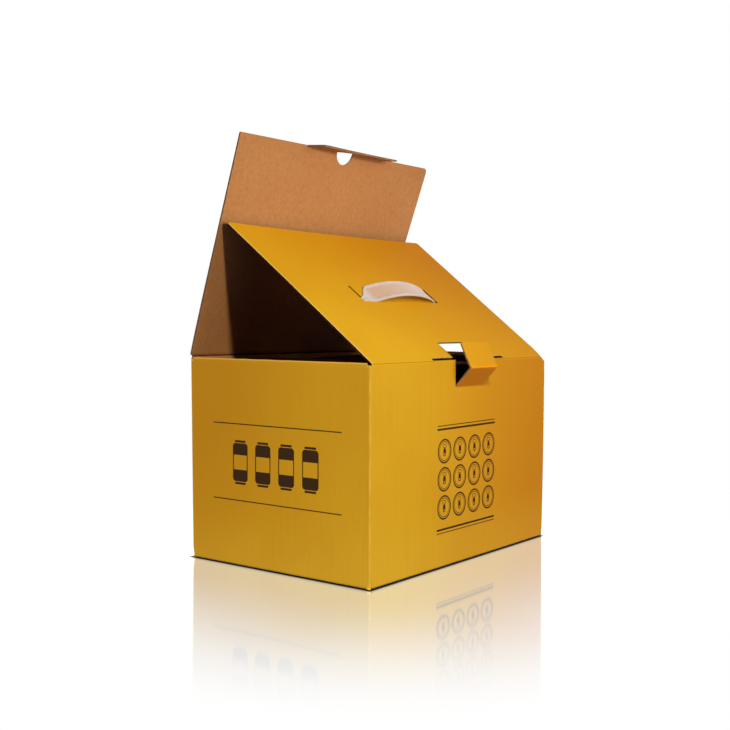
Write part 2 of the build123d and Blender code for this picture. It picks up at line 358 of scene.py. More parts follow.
# ---------------------------------------------------------------- materials
class Nodes:
    """Short hand for building a node tree."""

    def __init__(self, name):
        self.mat = bpy.data.materials.new(name)
        self.mat.use_nodes = True
        self.t = self.mat.node_tree
        self.t.nodes.clear()
        self.out = self.t.nodes.new("ShaderNodeOutputMaterial")
        self.bsdf = self.t.nodes.new("ShaderNodeBsdfPrincipled")
        self.t.links.new(self.bsdf.outputs[0], self.out.inputs[0])
        at = self.t.nodes.new("ShaderNodeAttribute")
        at.attribute_name = "blank"
        self.vec = at.outputs["Vector"]
        sp = self.t.nodes.new("ShaderNodeSeparateXYZ")
        self.t.links.new(self.vec, sp.inputs[0])
        self.u, self.v, self.d = sp.outputs

    def put(self, sock, val):
        if isinstance(val, bpy.types.NodeSocket):
            self.t.links.new(val, sock)
        else:
            sock.default_value = val

    def m(self, op, a, b=None, c=None, clamp=False):
        n = self.t.nodes.new("ShaderNodeMath")
        n.operation = op
        n.use_clamp = clamp
        for i, x in enumerate((a, b, c)):
            if x is not None:
                self.put(n.inputs[i], x)
        return n.outputs[0]

    def step(self, x, lo, hi):
        """0 below lo, 1 above hi, smooth between; lo may be above hi."""
        n = self.t.nodes.new("ShaderNodeMapRange")
        n.interpolation_type = "SMOOTHSTEP"
        self.put(n.inputs["Value"], x)
        if lo < hi:
            n.inputs["From Min"].default_value, n.inputs["From Max"].default_value = lo, hi
        else:
            n.inputs["From Min"].default_value, n.inputs["From Max"].default_value = hi, lo
            n.inputs["To Min"].default_value, n.inputs["To Max"].default_value = 1.0, 0.0
        return n.outputs[0]

    def noise(self, scale, detail=3.0, rough=0.55, vec=None, stretch=None):
        vec = vec or self.vec
        if stretch:
            mp = self.t.nodes.new("ShaderNodeMapping")
            mp.inputs["Scale"].default_value = stretch
            self.t.links.new(vec, mp.inputs[0])
            vec = mp.outputs[0]
        n = self.t.nodes.new("ShaderNodeTexNoise")
        n.inputs["Scale"].default_value = scale
        n.inputs["Detail"].default_value = detail
        n.inputs["Roughness"].default_value = rough
        self.t.links.new(vec, n.inputs["Vector"])
        return n.outputs[0]

    def mix(self, fac, a, b, kind="MIX"):
        n = self.t.nodes.new("ShaderNodeMix")
        n.data_type = "RGBA"
        n.blend_type = kind
        self.put(n.inputs[0], fac)
        for s, x in ((n.inputs[6], a), (n.inputs[7], b)):
            self.put(s, x if isinstance(x, bpy.types.NodeSocket) else (*x, 1.0))
        return n.outputs[2]

    def bump(self, height, strength, distance, normal=None):
        n = self.t.nodes.new("ShaderNodeBump")
        n.inputs["Strength"].default_value = strength
        n.inputs["Distance"].default_value = distance
        self.put(n.inputs["Height"], height)
        if normal is not None:
            self.t.links.new(normal, n.inputs["Normal"])
        return n.outputs[0]

    def set(self, **kw):
        names = {"color": "Base Color", "rough": "Roughness", "normal": "Normal", "spec": "Specular IOR Level",
                 "coat": "Coat Weight", "coat_rough": "Coat Roughness", "sheen": "Sheen Weight",
                 "sheen_rough": "Sheen Roughness", "sss": "Subsurface Weight", "sss_scale": "Subsurface Scale",
                 "ior": "IOR", "trans": "Transmission Weight"}
        for k, x in kw.items():
            s = self.bsdf.inputs[names[k]]
            if isinstance(x, tuple):
                x = (*x, 1.0)
            self.put(s, x)


def wave(n, coord, amount):
    """-1..1 ripple of the flutes under the paper, a little uneven."""
    drift = n.m("MULTIPLY", n.noise(0.012, 2), amount)
    ph = n.m("ADD", n.m("MULTIPLY", coord, 2 * math.pi / PITCH), drift)
    return n.m("COSINE", ph)


def ink_marks(n):
    """Plain dark shapes: a block of can tops on the long walls, a row of can outlines on the end walls."""
    soft = 0.16

    def fill(dist):
        return n.step(dist, soft, -soft)

    def union(*xs):
        out = xs[0]
        for x in xs[1:]:
            out = n.m("MAXIMUM", out, x)
        return out

    def both(*xs):
        out = xs[0]
        for x in xs[1:]:
            out = n.m("MULTIPLY", out, x)
        return out

    def cell(x, pitch):
        """Distance from the middle of the repeat that x falls in."""
        return n.m("SUBTRACT", n.m("FLOORED_MODULO", x, pitch), pitch / 2)

    def within(x, half, s=0.1):
        return n.step(n.m("ABSOLUTE", x), half + s, half - s)

    def box(x, y, hx, hy, r):
        ax = n.m("MAXIMUM", n.m("SUBTRACT", n.m("ABSOLUTE", x), hx - r), 0.0)
        ay = n.m("MAXIMUM", n.m("SUBTRACT", n.m("ABSOLUTE", y), hy - r), 0.0)
        q = n.m("SQRT", n.m("ADD", n.m("MULTIPLY", ax, ax), n.m("MULTIPLY", ay, ay)))
        return n.m("SUBTRACT", q, r)

    def ring(r, radius, half):
        return n.m("SUBTRACT", n.m("ABSOLUTE", n.m("SUBTRACT", r, radius)), half)

    # long walls repeat along the blank, so front and back share one drawing
    lu = n.m("SUBTRACT", n.m("FLOORED_MODULO", n.m("ADD", n.u, ROUND), ROUND), HX)
    lv = n.m("SUBTRACT", n.v, 78.0)
    pitch = 25.0
    cx = cell(n.m("ADD", lu, 2 * pitch), pitch)
    cy = cell(n.m("ADD", lv, 1.5 * pitch), pitch)
    r = n.m("SQRT", n.m("ADD", n.m("MULTIPLY", cx, cx), n.m("MULTIPLY", cy, cy)))
    tab = box(cx, n.m("SUBTRACT", cy, -0.9), 2.0, 3.6, 1.9)
    hole = box(cx, n.m("SUBTRACT", cy, -2.6), 0.9, 1.0, 0.85)
    mouth = box(cx, n.m("SUBTRACT", cy, 4.6), 2.6, 1.5, 1.4)
    tops = union(fill(ring(r, 10.2, 0.75)), fill(ring(r, 8.3, 0.32)),
                 both(fill(tab), n.m("SUBTRACT", 1.0, fill(hole))), fill(n.m("SUBTRACT", n.m("ABSOLUTE", mouth), 0.28)))
    tops = both(tops, within(lu, 2 * pitch), within(lv, 1.5 * pitch))
    rules = both(within(lu, 49.0, 0.12), union(fill(n.m("SUBTRACT", n.m("ABSOLUTE", n.m("SUBTRACT", n.m("ABSOLUTE", lv), 44.5)), 0.9)),
                                               fill(n.m("SUBTRACT", n.m("ABSOLUTE", n.m("SUBTRACT", n.m("ABSOLUTE", lv), 47.6)), 0.4))))
    long_art = union(tops, rules)

    # end walls
    eu = n.m("SUBTRACT", n.m("FLOORED_MODULO", n.m("ADD", n.u, END), ROUND), HY)
    ev = n.m("SUBTRACT", n.v, 92.0)
    ep = 27.0
    ex = cell(n.m("ADD", eu, 2 * ep), ep)
    can = box(ex, ev, 9.0, 17.0, 3.2)
    neck = box(ex, n.m("SUBTRACT", ev, 18.6), 6.4, 1.0, 0.6)
    foot = box(ex, n.m("ADD", ev, 18.6), 6.4, 1.0, 0.6)
    band = within(ev, 6.5)
    body = both(fill(can), n.m("SUBTRACT", 1.0, both(band, fill(n.m("ADD", can, 1.1)))))
    cans = both(union(body, fill(neck), fill(foot)), within(eu, 2 * ep))
    erule = both(within(eu, 74.0, 0.12), fill(n.m("SUBTRACT", n.m("ABSOLUTE", n.m("SUBTRACT", n.m("ABSOLUTE", ev), 34.0)), 0.5)))
    end_art = union(cans, erule)

    on_end = both(n.step(eu, -101.0, -100.6), n.step(eu, 101.0, 100.6))
    on_long = both(n.step(lu, -145.0, -144.6), n.step(lu, 145.0, 144.6))
    low = n.step(n.v, 4.0, 4.4)
    high = n.step(n.v, 176.0, 175.6)
    return both(union(both(long_art, on_long), both(end_art, on_end)), low, high)


def print_material(name, art=False, lid=False, gloss=0.04, dim=1.0):
    """Yellow print on a white-faced liner, over flutes; painted shade darkens and reddens it towards the front wall's
    right corner and, on a lid, towards its right side and free edge.
    """
    n = Nodes(name)
    big = n.noise(0.011, 2.0, 0.5)
    fine = n.noise(0.55, 4.0, 0.6)
    grain = n.noise(2.4, 2.0, 0.6)
    streak = n.noise(0.35, 2.0, 0.5, stretch=(1.0, 0.03, 0.0))
    rip = wave(n, n.u, 1.2)
    # painted shade: darker and redder towards the front wall's right corner, fading out across the right wall
    run = n.m("MINIMUM", n.step(n.u, -10.0, 320.0), n.step(n.u, ROUND, 292.0))
    if lid:
        # on a lid, painted shade also darkens the print towards its free edge
        run = n.m("MULTIPLY_ADD", n.step(n.v, 325.0, 520.0), 0.40, n.m("MULTIPLY", run, 0.68), clamp=True)
    col = n.mix(run, tuple(x * dim for x in YELLOW_A), tuple(x * dim for x in YELLOW_FAR_SHADE))
    dark = tuple(x * dim for x in YELLOW_D)
    if art:
        # painted shade: the end walls are darker away from the front and towards the top
        back = n.m("MAXIMUM", n.m("MULTIPLY", n.step(n.u, 0.0, -END), n.step(n.u, -END - 8.0, -END - 2.0)),
                   n.m("MULTIPLY", n.step(n.u, 292.0, ROUND), 0.6))
        end_wall_shade = n.m("MULTIPLY", n.m("MULTIPLY_ADD", back, 0.75, n.m("MULTIPLY", n.step(n.v, 0.0, 150.0), 0.35)),
                    n.m("MAXIMUM", n.step(n.u, 1.0, -1.0), n.step(n.u, 291.0, 293.0)), clamp=True)
        col = n.mix(end_wall_shade, col, YELLOW_END_SHADE)
        # painted light: the walls are lighter near the foot
        col = n.mix(n.m("MULTIPLY", n.step(n.v, 62.0, 0.0), 0.22), col, (0.62, 0.37, 0.035))
    col = n.mix(n.m("MULTIPLY", n.step(big, 0.35, 0.7), 0.22), col, dark)
    col = n.mix(n.m("MULTIPLY", n.step(fine, 0.48, 0.75), 0.14), col, dark)
    col = n.mix(n.m("MULTIPLY", n.step(streak, 0.45, 0.8), 0.18), col, dark)
    col = n.mix(n.m("MULTIPLY_ADD", rip, 0.022, 0.022), col, dark)
    if lid:
        # painted shade in the scored line of a crease
        score = n.m("MULTIPLY", n.step(n.v, 300.5, 300.9), n.step(n.v, 301.7, 301.3))
        col = n.mix(n.m("MULTIPLY", score, 0.5), col, (0.22, 0.10, 0.004))
        # the cut side of the front lid is rubbed pale, and painted lighter as a highlight along the lit edge
        side = n.m("MULTIPLY", n.step(n.u, 2.9, 2.3), n.step(n.u, -1.0, 0.0))
        col = n.mix(n.m("MULTIPLY", side, 0.75), col, (0.85, 0.56, 0.17))
    # specks where the ink missed the paper
    col = n.mix(n.m("MULTIPLY", n.step(grain, 0.71, 0.78), 0.22), col, (0.56 * dim, 0.38 * dim, 0.10 * dim))
    if art:
        ink = ink_marks(n)
        worn = n.step(grain, 0.74, 0.68)
        col = n.mix(n.m("MULTIPLY", ink, n.m("MULTIPLY_ADD", worn, 0.15, 0.83)), col, INK)
        # ink is rubbed thin along the corner folds, which are also painted lighter as a highlight on their rounded
        # edges
        fold = None
        for f in (0.0, 292.0, -END, -ROUND):
            dist = n.m("ABSOLUTE", n.m("SUBTRACT", n.u, f))
            one = n.step(dist, 2.2, 0.3)
            fold = one if fold is None else n.m("MAXIMUM", fold, one)
        # painted highlight: a lighter band along the top folds of the end and back walls
        top = n.m("MULTIPLY", n.step(n.v, 180.2, 180.7), n.m("MAXIMUM", n.step(n.u, -1.0, -2.0), n.step(n.u, 293.0, 294.0)))
        top = n.m("MULTIPLY", top, n.step(n.v, 199.0, 198.0))
        col = n.mix(n.m("MULTIPLY", top, 0.75), col, (0.64, 0.36, 0.075))
        # painted light: the lock tongue's downward-facing lower panel gets a brighter, redder tone for the bounce light
        # it takes in shade
        tongue_bounce_tint = n.m("MULTIPLY", n.step(n.v, 199.9, 200.1), n.step(n.v, 225.5, 224.5))
        col = n.mix(n.m("MULTIPLY", tongue_bounce_tint, 0.85), col, (0.700, 0.218, 0.004))
        # wear and painted highlight along the corner folds
        fold_wear_and_highlight = n.m("MULTIPLY", fold, n.step(n.noise(0.3, 4, 0.6, stretch=(1.0, 0.25, 1.0)), 0.36, 0.62))
        col = n.mix(n.m("MULTIPLY", fold_wear_and_highlight, 0.42), col, (0.62, 0.37, 0.07))
    rough = n.m("MULTIPLY_ADD", fine, 0.16, 0.36)
    h1 = n.bump(rip, 0.07, 0.00025)
    h2 = n.bump(n.noise(0.05, 3, 0.5), 0.22, 0.0012, h1)
    h3 = n.bump(fine, 0.10, 0.00012, h2)
    n.set(color=col, rough=rough, normal=h3, spec=gloss)
    return n.mat


def kraft_material(name, dark=1.0, far_flap_shade=0.0):
    """Plain brown liner with fibres and specks, and the flutes just showing."""
    n = Nodes(name)
    big = n.noise(0.013, 2.0, 0.5)
    fibre = n.noise(0.9, 4.0, 0.65, stretch=(1.0, 0.35, 1.0))
    speck = n.noise(1.7, 2.0, 0.6)
    rip = wave(n, n.u, 1.0)
    a, b, c = (tuple(x * dark for x in k) for k in (KRAFT_A, KRAFT_B, KRAFT_C))
    col = n.mix(n.step(big, 0.3, 0.7), a, b)
    col = n.mix(n.m("MULTIPLY", n.step(fibre, 0.42, 0.68), 0.5), col, c)
    col = n.mix(n.m("MULTIPLY", n.step(speck, 0.6, 0.68), 0.55), col, tuple(x * 0.5 for x in c))
    col = n.mix(n.m("MULTIPLY", n.step(speck, 0.36, 0.3), 0.35), col, (0.58 * dark, 0.30 * dark, 0.125 * dark))
    col = n.mix(n.m("MULTIPLY_ADD", rip, 0.02, 0.02), col, c)
    # soft blotches, and painted shade towards both ends of a lid
    col = n.mix(n.m("MULTIPLY", n.step(n.noise(0.24, 3, 0.6), 0.46, 0.66), 0.32), col, c)
    lid_end_shade = n.m("MAXIMUM", n.step(n.v, 496.0, 530.0), n.step(n.v, 470.0, 420.0))
    col = n.mix(n.m("MULTIPLY", lid_end_shade, 0.30), col, c)
    # painted shade: the right-hand dust flap turns near black under the lids
    if far_flap_shade:
        col = n.mix(n.m("MULTIPLY", n.step(n.u, 100.0, 200.0), far_flap_shade), col, (0.012, 0.006, 0.002))
    h1 = n.bump(rip, 0.06, 0.0002)
    h2 = n.bump(fibre, 0.3, 0.00025, h1)
    h3 = n.bump(n.noise(0.07, 3, 0.5), 0.2, 0.001, h2)
    # the paper is crumpled next to a crease
    crumple = n.m("MULTIPLY", n.noise(0.16, 3, 0.6, stretch=(0.5, 1.4, 1.0)), n.m("MULTIPLY", n.step(n.v, 329.0, 321.0), n.step(n.v, 319.0, 320.0)))
    h3 = n.bump(crumple, 0.8, 0.0022, h3)
    n.set(color=col, rough=n.m("MULTIPLY_ADD", fibre, 0.15, 0.74), normal=h3, spec=0.0 if far_flap_shade else 0.05)
    return n.mat


def core_material(name):
    """Cut edge of the white-faced liner."""
    n = Nodes(name)
    f = n.noise(1.1, 3, 0.6)
    col = n.mix(n.step(f, 0.35, 0.7), (0.60, 0.44, 0.22), (0.44, 0.29, 0.12))
    n.set(color=col, rough=0.8, normal=n.bump(f, 0.4, 0.0002), spec=0.2)
    return n.mat


def medium_material(name, a, b):
    """Waved middle paper and the liners' hidden faces, seen at cut edges."""
    n = Nodes(name)
    f = n.noise(0.8, 3, 0.6, stretch=(1.0, 0.3, 1.0))
    col = n.mix(n.step(f, 0.3, 0.7), a, b)
    n.set(color=col, rough=0.85, normal=n.bump(f, 0.4, 0.0002), spec=0.0)
    return n.mat


YELLOW_A = (0.512, 0.282, 0.0095)
YELLOW_FAR_SHADE = (0.405, 0.148, 0.0050)
YELLOW_D = (0.400, 0.165, 0.0045)
YELLOW_END_SHADE = (0.380, 0.175, 0.0055)
INK = (0.022, 0.010, 0.005)
KRAFT_A = (0.500, 0.222, 0.076)
KRAFT_B = (0.460, 0.198, 0.066)
KRAFT_C = (0.345, 0.140, 0.043)

mat_wall = print_material("wall_print", art=True, gloss=0.015)
mat_lid = print_material("lid_print", lid=True, gloss=0.006)
# the dust flaps' upper faces: kraft dimmed as painted shade under the lids, the right flap darker still
mat_flap_shade = kraft_material("flap_top_shade", dark=0.36, far_flap_shade=0.6)
mat_kraft = kraft_material("kraft_liner")
mat_core = core_material("white_liner_edge")
# flute paper painted near black at cut edges as the shade inside the flutes; the pale copy below is its lit colour
mat_medium_shaded = medium_material("flute_paper", (0.045, 0.024, 0.012), (0.085, 0.047, 0.023))
mat_pale = medium_material("flute_paper_pale", (0.42, 0.26, 0.145), (0.56, 0.38, 0.23))

# ---------------------------------------------------------------- carton body
runs = []


def add_line(p, q):
    runs.append(("line", Vector(p), Vector(q)))


def add_arc(c, a0, a1, r=CORNER):
    runs.append(("arc", Vector(c), a0, a1, r))


cx, cy = HX - CORNER, HY - CORNER
lap_x = HX - BOARD - 0.1
add_line((lap_x, HY - BOARD - 34), (lap_x, cy))
add_arc((lap_x - CORNER, cy), 0, 90)
add_line((lap_x - CORNER, HY), (-cx, HY))
add_arc((-cx, cy), 90, 180)
add_line((-HX, cy), (-HX, -cy))
add_arc((-cx, -cy), 180, 270)
add_line((-cx, -HY), (cx, -HY))
add_arc((cx, -cy), 270, 360)
add_line((HX, -cy), (HX, HY - 0.7))

ends, total = [0.0], 0.0
for r in runs:
    total += (r[2] - r[1]).length if r[0] == "line" else math.radians(abs(r[3] - r[2])) * r[4]
    ends.append(total)


def wall_point(p):
    """Plan position and outward normal of the wall line at p."""
    i = 0
    while i < len(runs) - 1 and p > ends[i + 1] + 1e-6:
        i += 1
    t = (p - ends[i]) / (ends[i + 1] - ends[i])
    r = runs[i]
    if r[0] == "line":
        d = (r[2] - r[1]).normalized()
        return r[1] + (r[2] - r[1]) * t, Vector((d.y, -d.x)), i
    a = math.radians(r[2] + (r[3] - r[2]) * t)
    nv = Vector((math.cos(a), math.sin(a)))
    return r[1] + nv * r[4], nv, i


def blank_of(x, y, n):
    if abs(n.y) >= abs(n.x):
        return x + HX if n.y < 0 else -END - (x + HX)
    return -(y + HY) if n.x < 0 else 292.0 + (y + HY)


def bulge(p):
    """Walls of a filled-and-emptied carton lean out towards the open top and bow a little between their folds."""
    x, y, z = p
    s = math.sin(math.pi * min(1.0, max(0.0, (z - 4.0) / 172.0)))
    up = min(1.0, max(0.0, z / 181.0))
    fx, fy = x / HX, y / HY
    dx = dy = 0.0
    if fx > 0:
        lean = math.sin(math.pi / 2 * min(1.0, max(0.0, z / 150.0))) * (1.0 - 0.35 * smooth(174.0, 183.0, z))
        dx += 2.35 * fx ** 4 * lean * (0.75 - 0.25 * fy)
    else:
        dx -= fx ** 4 * (0.9 * up + 0.3 * math.cos(math.pi * 0.5 * fy) * s)
    if fy < 0:
        dy -= 0.5 * math.cos(math.pi * 0.5 * fx) * fy ** 4 * s
    else:
        dy += (0.7 * math.cos(math.pi * 0.5 * fx) * s - 1.9 * (1.0 - up)) * fy ** 4
    return (x + dx, y + dy, z)


def crush(away):
    """Board is squeezed flat close to a scored crease."""
    return 0.2 + 0.8 * smooth(0.3, 3.0, away)


def squeeze(d, k):
    return d if d <= LINER_P else LINER_P + (d - LINER_P) * k


def place_wall(p, z, d):
    q, n, i = wall_point(p)
    near = min(0.0 if ends[j] <= p <= ends[j + 1] else min(abs(p - ends[j]), abs(p - ends[j + 1])) for j in (1, 3, 5, 7))
    d = squeeze(d, 0.5 + 0.5 * smooth(0.0, 3.5, near))
    top = Z_FRONT if i == 6 else Z_BACK if i == 2 else None
    if top is not None:
        k = crush(max(0.0, top - z))
        if i == 6:
            k = k + (1 - k) * smooth(SLIT_HALF + 2.0, SLIT_HALF, abs(q.x - SLIT_X))
        d = squeeze(d, k)
    return bulge((q.x - n.x * d, q.y - n.y * d, z))


def blank_wall(p, z):
    q, n, i = wall_point(p)
    return (blank_of(q.x, q.y, n), z)


def p_front(x):
    return ends[6] + (x + cx)


def p_back(x):
    return ends[2] + (lap_x - CORNER - x)


def p_left(y):
    return ends[4] + (cy - y)


def p_right(y):
    return ends[8] + (y + cy)


cut_low = Z_FRONT - TONGUE_DROP
ANGLE1 = math.atan2(TONGUE_FOLD[0], TONGUE_FOLD[1] + TONGUE_DROP)
NICK = 0.8 * math.tan(ANGLE1 / 2)
tongue_z = cut_low - NICK
NECK_Y = HY - 3.4
FOOT = 0.15             # the end walls' folds are pressed down beside the outer bottom flaps
SLIT_L, SLIT_R = SLIT_X - SLIT_HALF, SLIT_X + SLIT_HALF


def wall_loop(front_top, back_top, z_side):
    e = ends
    hip = Z_SIDE + 0.6      # wall tops beside the dust flaps' necks
    low = [(0, 9.0), (e[1], 9.0), (e[1], 0.25), (e[2] + 0.4, 0.25), (e[2] + 0.4, FOLD), (e[3] - 0.4, FOLD), (e[3] - 0.4, 0.2),
           (e[4], 0.2), (p_left(NECK_Y), 0.2), (p_left(NECK_Y), FOOT + FOLD), (p_left(-NECK_Y), FOOT + FOLD), (p_left(-NECK_Y), 0.2),
           (e[5], 0.2), (e[6] + 0.4, 0.2), (e[6] + 0.4, FOLD), (e[7] - 0.4, FOLD), (e[7] - 0.4, 0.2), (e[8], 0.2),
           (p_right(-NECK_Y), 0.2), (p_right(-NECK_Y), FOOT + FOLD), (p_right(NECK_Y), FOOT + FOLD), (p_right(NECK_Y), 0.2), (e[9], 0.2)]
    high = [(e[9], hip), (p_right(NECK_Y), hip), (p_right(NECK_Y), z_side), (p_right(-NECK_Y), z_side),
            (p_right(-NECK_Y), hip), (e[8], hip - 3.8), (e[7], front_top - 3.2), (e[7] - 5.2, front_top)]
    slit_top = Z_FRONT + SLIT_RISE
    high += [(p_front(SLIT_R), front_top), (p_front(SLIT_R), slit_top), (p_front(WIN_R), slit_top), (p_front(WIN_R), tongue_z),
             (p_front(WIN_L), tongue_z), (p_front(WIN_L), slit_top), (p_front(SLIT_L), slit_top), (p_front(SLIT_L), front_top)]
    high += [(e[6], front_top), (e[5], hip), (p_left(-NECK_Y), hip), (p_left(-NECK_Y), z_side),
             (p_left(NECK_Y), z_side), (p_left(NECK_Y), hip), (e[4], hip), (e[3], back_top),
             (e[2], back_top), (e[1], hip - 1.0), (e[1], 170.0), (0, 170.0)]
    # drop doubled points so that every side has length
    out = []
    for q in low + high:
        if not out or math.hypot(q[0] - out[-1][0], q[1] - out[-1][1]) > 0.05:
            out.append(q)
    return out


body = Gather()
corner_lines = []
for i in (1, 3, 5, 7):
    corner_lines += [ends[i] + (ends[i + 1] - ends[i]) * k / 6 for k in range(7)]
    corner_lines += [ends[i] - 1.6, ends[i] - 3.5, ends[i + 1] + 1.6, ends[i + 1] + 3.5]
wall_us = lines(0, ends[9], 8.0, corner_lines + [p_front(SLIT_L - 1.5), p_front(SLIT_R + 1.5)])
wall_vs = lines(2.0, 185.0, 8.0, [176.5, 178.6, 180.0, 181.0, 182.0, 183.0, 184.0])
loop_p = wall_loop(Z_FRONT - CREASE, Z_BACK - CREASE, Z_SIDE - FOLD)
loop_k = wall_loop(Z_FRONT - 0.7, Z_BACK - 0.7, Z_SIDE - FOLD)
sheet(body, [loop_p], place_wall, wall_us, wall_vs, blank_wall, kraft_loops=[loop_k],
      flute_vs=lines(2.0, 185.0, 16.0, [179.0, 180.4, 181.6]), u_range=(p_front(-62.0), p_front(72.0)))


def fold_sheet(g, prof, place2, outline, blank, du, dv, holes=(), face=PRINT, marks=6, mid=MEDIUM, per=8, bends=None):
    """Board that follows a folded line: u across it, w along it."""
    def place(u, w, d):
        p, n = prof.at(w)
        return place2(u, p - n * d, w)
    us = lines(min(q[0] for q in outline), max(q[0] for q in outline), du)
    vs = lines(0.0, prof.length, dv, prof.marks(marks))
    sheet(g, [outline, *holes], place, us, vs, blank, flute_vs=lines(0.0, prof.length, 30.0, prof.marks(bends or marks)), face=face, mid=mid, per=per)


# outer bottom flaps, front and back, meeting behind the middle
for side, seam in ((-1, 2.4), (1, 3.6)):
    prof = Profile([(side * HY, FOLD), (side * HY, 0.0), (seam, 0.0)], [FOLD], hand=-side)
    L = prof.length
    outline = [(-HX + 3.2, 0), (HX - 3.2, 0), (HX - 3.4, 3.4), (HX - 14.5, 6.0), (HX - 14.5, L), (-HX + 14.5, L), (-HX + 14.5, 6.0), (-HX + 3.4, 3.4)]
    fold_sheet(body, prof, lambda u, q, w: bulge((u, q.x, q.y)), outline,
               lambda u, w, s=side: (u + HX if s < 0 else -END - (u + HX), -w), 12.0, 12.0, per=4, bends=3)

# inner bottom flaps and dust flaps of the end walls
for side in (-1, 1):
    prof = Profile([(side * HX, FOOT + FOLD), (side * HX, FOOT), (side * (HX - 5.0), FOOT), (side * (HX - 14.0), BOARD + 0.05),
                    (side * (HX - 98.0), BOARD + 0.05)], [FOLD, 6.0, 6.0], hand=-side)
    L = prof.length
    outline = [(-NECK_Y, 0), (NECK_Y, 0), (NECK_Y - 0.6, L), (-NECK_Y + 0.6, L)]
    fold_sheet(body, prof, lambda u, q, w: bulge((q.x, u, q.y)), outline,
               lambda u, w, s=side: (-(u + HY) if s < 0 else 292 + u + HY, -w), 12.0, 12.0, per=4, bends=3)
    prof = Profile([(side * HX, Z_SIDE - FOLD), (side * HX, Z_SIDE), (side * 3.0, Z_SIDE)], [FOLD], hand=side)
    L = prof.length
    tip = HY - 7.5
    outline = [(-NECK_Y, 0), (NECK_Y, 0), (NECK_Y - 0.1, 6.0), (tip + 1.2, L - 9.0)] + \
        [(tip + 1.2 - 9.0 + q[0], L - 9.0 + q[1]) for q in arc_pts(0, 0, 9.0, 12, 90, 6)] + \
        [(-(tip + 1.2 - 9.0) + q[0], L - 9.0 + q[1]) for q in arc_pts(0, 0, 9.0, 90, 168, 6)] + \
        [(-tip - 1.2, L - 9.0), (-NECK_Y + 0.1, 6.0)]

    def dust(u, q, w, s=side, total=L):
        """The flap's free edge hangs slightly into the box, and its fold stands up in a bead."""
        t = max(0.0, (w - 8.0) / (total - 8.0))
        bead = (2.7 if s < 0 else 3.4) * smooth(144.25, 145.3, abs(q.x)) * smooth(Z_SIDE - FOLD, Z_SIDE - 0.6, q.y)
        bead *= 1.0 + 0.02 * math.sin(u * 0.21) + 0.015 * math.sin(u * 0.53 + 1.0)
        if s > 0:
            bead += 1.3 * smooth(96.0, 138.0, q.x) * smooth(Z_SIDE - FOLD, Z_SIDE - 0.8, q.y)
            bead *= smooth(-NECK_Y + 4.0, -NECK_Y + 34.0, u)
        q = Vector((bulge((q.x, u, q.y))[0], q.y))
        return (q.x, u, q.y + bead - (1.6 if s < 0 else 2.6) * t * t - 0.5 * t * math.cos(math.pi * u / 204.0))
    # beyond the bead, the dust flaps' printed upper faces take the dark material of painted shade
    fold_sheet(body, prof, dust, outline,
               lambda u, w, s=side: (-(u + HY) if s < 0 else 292 + u + HY, Z_SIDE - FOLD + w), 8.0, 8.0,
               face=lambda u, w: PRINT if w < 2.7 else FLAP_SHADE, marks=10)

# the lock tongue, folded out of the front wall and bent up again
root = (-HY, tongue_z)
prof = Profile([root, (-HY, cut_low), (-HY - TONGUE_FOLD[0], Z_FRONT + TONGUE_FOLD[1]),
                (-HY - TONGUE_END[0], Z_FRONT + TONGUE_END[1])], [0.8, FOLD], hand=-1)
L = prof.length
outline = [(TONGUE_L, 0), (TONGUE_R, 0), (TONGUE_R, L - 2.0)] + arc_pts(TONGUE_R - 2.0, L - 2.0, 2.0, 0, 90, 4)[1:] + \
    arc_pts(TONGUE_L + 2.0, L - 2.0, 2.0, 90, 180, 4) + [(TONGUE_L, L - 2.0)]
fold_sheet(body, prof, lambda u, q, w: bulge((u, q.x, q.y)), outline[:-1], lambda u, w: (u + HX, 200.0 + w), 5.0, 4.0, mid=PALE)

carton = body.build("carton_board", [mat_wall, mat_kraft, mat_core, mat_medium_shaded, mat_flap_shade, mat_pale])
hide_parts("carton_body")
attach(carton, "carton")

# ---------------------------------------------------------------- lids
ta = math.radians(FRONT_DEG)
F_ALONG, F_UP = Vector((math.cos(ta), math.sin(ta))), Vector((-math.sin(ta), math.cos(ta)))
F_HINGE = Vector((-HY, Z_FRONT))


def front_bow(u, v):
    """The lid is a little twisted and sags between its corners."""
    t = v / FRONT_LEN
    x = u / LID_HALF
    return 0.55 * math.sin(math.pi * t) * (1 - 0.5 * x * x) + (0.5 + 1.0 * x - 1.3 * (1 - x * x)) * t * t


def place_front(u, v, d):
    k = crush(v)
    k = k + (1 - k) * smooth(SLIT_HALF + 2.0, SLIT_HALF, abs(u - SLIT_X))
    h = front_bow(u, v) - squeeze(d, k)
    t = v / FRONT_LEN
    x = u / LID_HALF
    along = v + FRONT_LEN * (0.004 - 0.0125 * x) * t * t
    q = F_HINGE + F_ALONG * along + F_UP * h
    wide = 0.8 * x * abs(x) * t if x < 0 else x ** 4 * (3.5 * t - 2.6 - 2.2 * (1 - smooth(0.0, 0.06, t)))
    return (u + wide, q.x, q.y)


def front_loop(v_fold, v_slit):
    r, rl = 2.6, 4.4
    L = FRONT_LEN
    lo = [(-LID_HALF, v_fold), (SLIT_L, v_fold), (SLIT_L, v_slit), (WIN_L, v_slit), (WIN_L, WIN_LEN), (WIN_R, WIN_LEN),
          (WIN_R, v_slit), (SLIT_R, v_slit), (SLIT_R, v_fold), (LID_HALF, v_fold)]
    return lo + arc_pts(LID_HALF - r, L - r, r, 0, 90, 5) + arc_pts(-LID_HALF + rl, L - rl, rl, 90, 180, 6)


def slot_loop(lo, hi):
    return [(lo, SLOT_FROM), (hi, SLOT_FROM), (hi, SLOT_TO), (lo, SLOT_TO)]


